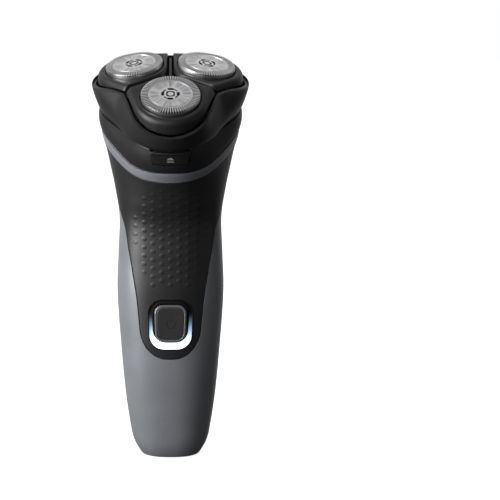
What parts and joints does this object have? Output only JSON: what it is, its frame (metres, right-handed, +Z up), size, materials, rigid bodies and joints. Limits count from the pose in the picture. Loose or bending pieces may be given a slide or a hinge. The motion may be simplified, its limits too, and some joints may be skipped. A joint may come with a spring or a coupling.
{
  "type": "rotary electric shaver",
  "caption": "Upright cordless rotary shaver: tapered handle, forward-leaning flip-open head with floating round cutters, thumb button with light ring and rear pop-up trimmer.",
  "frame": {"origin": "middle of the flat base the handle stands on", "axes": "+Z up the handle, -Y out of the front with the thumb button, +X to the viewer's right of the front"},
  "size_m": [0.0602, 0.0569, 0.1601],
  "materials": {
    "grey_body": "satin blue-grey moulding",
    "black_body": "fine satin black",
    "black_panel": "soft satin black",
    "black_gloss": "semi-gloss black",
    "inner_plastic": "dark grey moulding",
    "white_plastic": "natural acetal",
    "shaving_steel": "ground steel",
    "steel": "plain steel",
    "brass": "bright",
    "light": "lit translucent diffuser",
    "rubber": "matte",
    "board": "green solder resist",
    "battery": "shrink-sleeved cell"
  },
  "bodies": {
    "handle": {"front_shell": "grey_body", "rear_shell": "grey_body", "front_panel": "black_panel", "light_guide": "light", "tact_switch": "black_gloss", "indicator_led": "light", "circuit_board": "board", "battery": "battery", "battery_tab_lower": "steel", "battery_tab_upper": "steel", "inner_chassis": "white_plastic", "charging_socket": "black_body", "charging_pin_left": "brass", "charging_pin_right": "brass", "base_screw_left": "steel", "base_screw_right": "steel", "neck_collar": "black_body", "release_spring": "steel", "spindle_seal_front": "rubber", "spindle_seal_left": "rubber", "spindle_seal_right": "rubber", "drive_cover": "inner_plastic", "motor_can": "steel", "motor_mount": "inner_plastic", "motor_screw_left": "steel", "motor_screw_right": "steel", "hinge_leaf_body": "black_body", "hinge_pin": "steel", "trimmer_pin": "steel"},
    "power_button": {"power_button": "black_gloss"},
    "release_button": {"release_button": "black_body"},
    "rotor": {"motor_shaft": "steel", "motor_pinion": "brass"},
    "drive_front": {"drive_gear_front": "white_plastic", "spindle_front": "steel"},
    "drive_left": {"drive_gear_left": "white_plastic", "spindle_left": "steel"},
    "drive_right": {"drive_gear_right": "white_plastic", "spindle_right": "steel"},
    "head": {"head_shell": "black_body", "petal_carrier": "black_body", "retaining_frame": "inner_plastic", "hinge_leaf_head": "black_body"},
    "lock_wheel": {"lock_wheel": "white_plastic"},
    "petal_front": {"petal_front": "black_body"},
    "guard_front": {"guard_front": "shaving_steel"},
    "cutter_front": {"cutter_front": "shaving_steel"},
    "petal_left": {"petal_left": "black_body"},
    "guard_left": {"guard_left": "shaving_steel"},
    "cutter_left": {"cutter_left": "shaving_steel"},
    "petal_right": {"petal_right": "black_body"},
    "guard_right": {"guard_right": "shaving_steel"},
    "cutter_right": {"cutter_right": "shaving_steel"},
    "trimmer": {"trimmer_arm": "grey_body", "trimmer_comb": "steel"},
    "trimmer_blade": {"trimmer_blade": "steel"},
    "trimmer_slider": {"trimmer_slider": "black_body"}
  },
  "joints": [
    {"name": "power_press", "type": "slide", "parent": "handle", "child": "power_button", "axis": [0, 1, 0], "range_m": [0, 0.0008], "stiffness_N_per_m": 800},
    {"name": "release_press", "type": "slide", "parent": "handle", "child": "release_button", "axis": [0, 0.8988, 0.4384], "range_m": [0, 0.0015], "stiffness_N_per_m": 500, "deforming": ["release_spring"]},
    {"name": "motor_spin", "type": "hinge", "parent": "handle", "child": "rotor", "pos_m": [0, -0.0142, 0.1525], "axis": [0, -0.4384, 0.8988], "continuous": true},
    {"name": "drive_front_spin", "type": "hinge", "parent": "handle", "child": "drive_front", "pos_m": [0, -0.02858, 0.14549], "axis": [0, -0.5736, 0.8192], "continuous": true},
    {"name": "drive_left_spin", "type": "hinge", "parent": "handle", "child": "drive_left", "pos_m": [-0.01386, -0.00701, 0.15601], "axis": [-0.1355, -0.3627, 0.922], "continuous": true},
    {"name": "drive_right_spin", "type": "hinge", "parent": "handle", "child": "drive_right", "pos_m": [0.01386, -0.00701, 0.15601], "axis": [0.1355, -0.3627, 0.922], "continuous": true},
    {"name": "head_open", "type": "hinge", "parent": "handle", "child": "head", "pos_m": [0, 0.01536, 0.14733], "axis": [-1, 0, 0], "range_deg": [0, 95]},
    {"name": "lock_turn", "type": "hinge", "parent": "head", "child": "lock_wheel", "pos_m": [0, -0.00894, 0.14171], "axis": [0, -0.4384, 0.8988], "range_deg": [0, 90]},
    {"name": "petal_front_tilt", "type": "hinge", "parent": "head", "child": "petal_front", "pos_m": [0, -0.02629, 0.14221], "axis": [1, 0, 0], "range_deg": [-4, 4], "stiffness_Nm_per_rad": 0.2},
    {"name": "petal_left_tilt", "type": "hinge", "parent": "head", "child": "petal_left", "pos_m": [-0.01332, -0.00556, 0.15232], "axis": [-0.5, -0.7784, -0.3796], "range_deg": [-4, 4], "stiffness_Nm_per_rad": 0.2},
    {"name": "petal_right_tilt", "type": "hinge", "parent": "head", "child": "petal_right", "pos_m": [0.01332, -0.00556, 0.15232], "axis": [-0.5, 0.7784, 0.3796], "range_deg": [-4, 4], "stiffness_Nm_per_rad": 0.2},
    {"name": "guard_front_float", "type": "slide", "parent": "petal_front", "child": "guard_front", "axis": [0, -0.5736, 0.8192], "range_m": [-0.0012, 0], "stiffness_N_per_m": 900, "springref_m": 0.0004},
    {"name": "guard_left_float", "type": "slide", "parent": "petal_left", "child": "guard_left", "axis": [-0.1355, -0.3627, 0.922], "range_m": [-0.0012, 0], "stiffness_N_per_m": 900, "springref_m": 0.0004},
    {"name": "guard_right_float", "type": "slide", "parent": "petal_right", "child": "guard_right", "axis": [0.1355, -0.3627, 0.922], "range_m": [-0.0012, 0], "stiffness_N_per_m": 900, "springref_m": 0.0004},
    {"name": "cutter_front_spin", "type": "hinge", "parent": "guard_front", "child": "cutter_front", "pos_m": [0, -0.02858, 0.14549], "axis": [0, -0.5736, 0.8192], "continuous": true},
    {"name": "cutter_left_spin", "type": "hinge", "parent": "guard_left", "child": "cutter_left", "pos_m": [-0.01386, -0.00701, 0.15601], "axis": [-0.1355, -0.3627, 0.922], "continuous": true},
    {"name": "cutter_right_spin", "type": "hinge", "parent": "guard_right", "child": "cutter_right", "pos_m": [0.01386, -0.00701, 0.15601], "axis": [0.1355, -0.3627, 0.922], "continuous": true},
    {"name": "trimmer_popup", "type": "hinge", "parent": "handle", "child": "trimmer", "pos_m": [0, 0.0123, 0.0842], "axis": [-1, 0, 0], "range_deg": [0, 50]},
    {"name": "trimmer_slide", "type": "slide", "parent": "handle", "child": "trimmer_slider", "axis": [0, 0, 1], "range_m": [0, 0.004]},
    {"name": "trimmer_stroke", "type": "slide", "parent": "trimmer", "child": "trimmer_blade", "axis": [1, 0, 0], "range_m": [-0.0008, 0.0008]}
  ],
  "couplings": [
    {"joint": "drive_front_spin", "follows": "motor_spin", "ratio": -0.27273},
    {"joint": "cutter_front_spin", "follows": "motor_spin", "ratio": -0.27273},
    {"joint": "drive_left_spin", "follows": "motor_spin", "ratio": -0.27273},
    {"joint": "cutter_left_spin", "follows": "motor_spin", "ratio": -0.27273},
    {"joint": "drive_right_spin", "follows": "motor_spin", "ratio": -0.27273},
    {"joint": "cutter_right_spin", "follows": "motor_spin", "ratio": -0.27273},
    {"joint": "trimmer_popup", "follows": "trimmer_slide", "rad_per_m": 218.16}
  ]
}
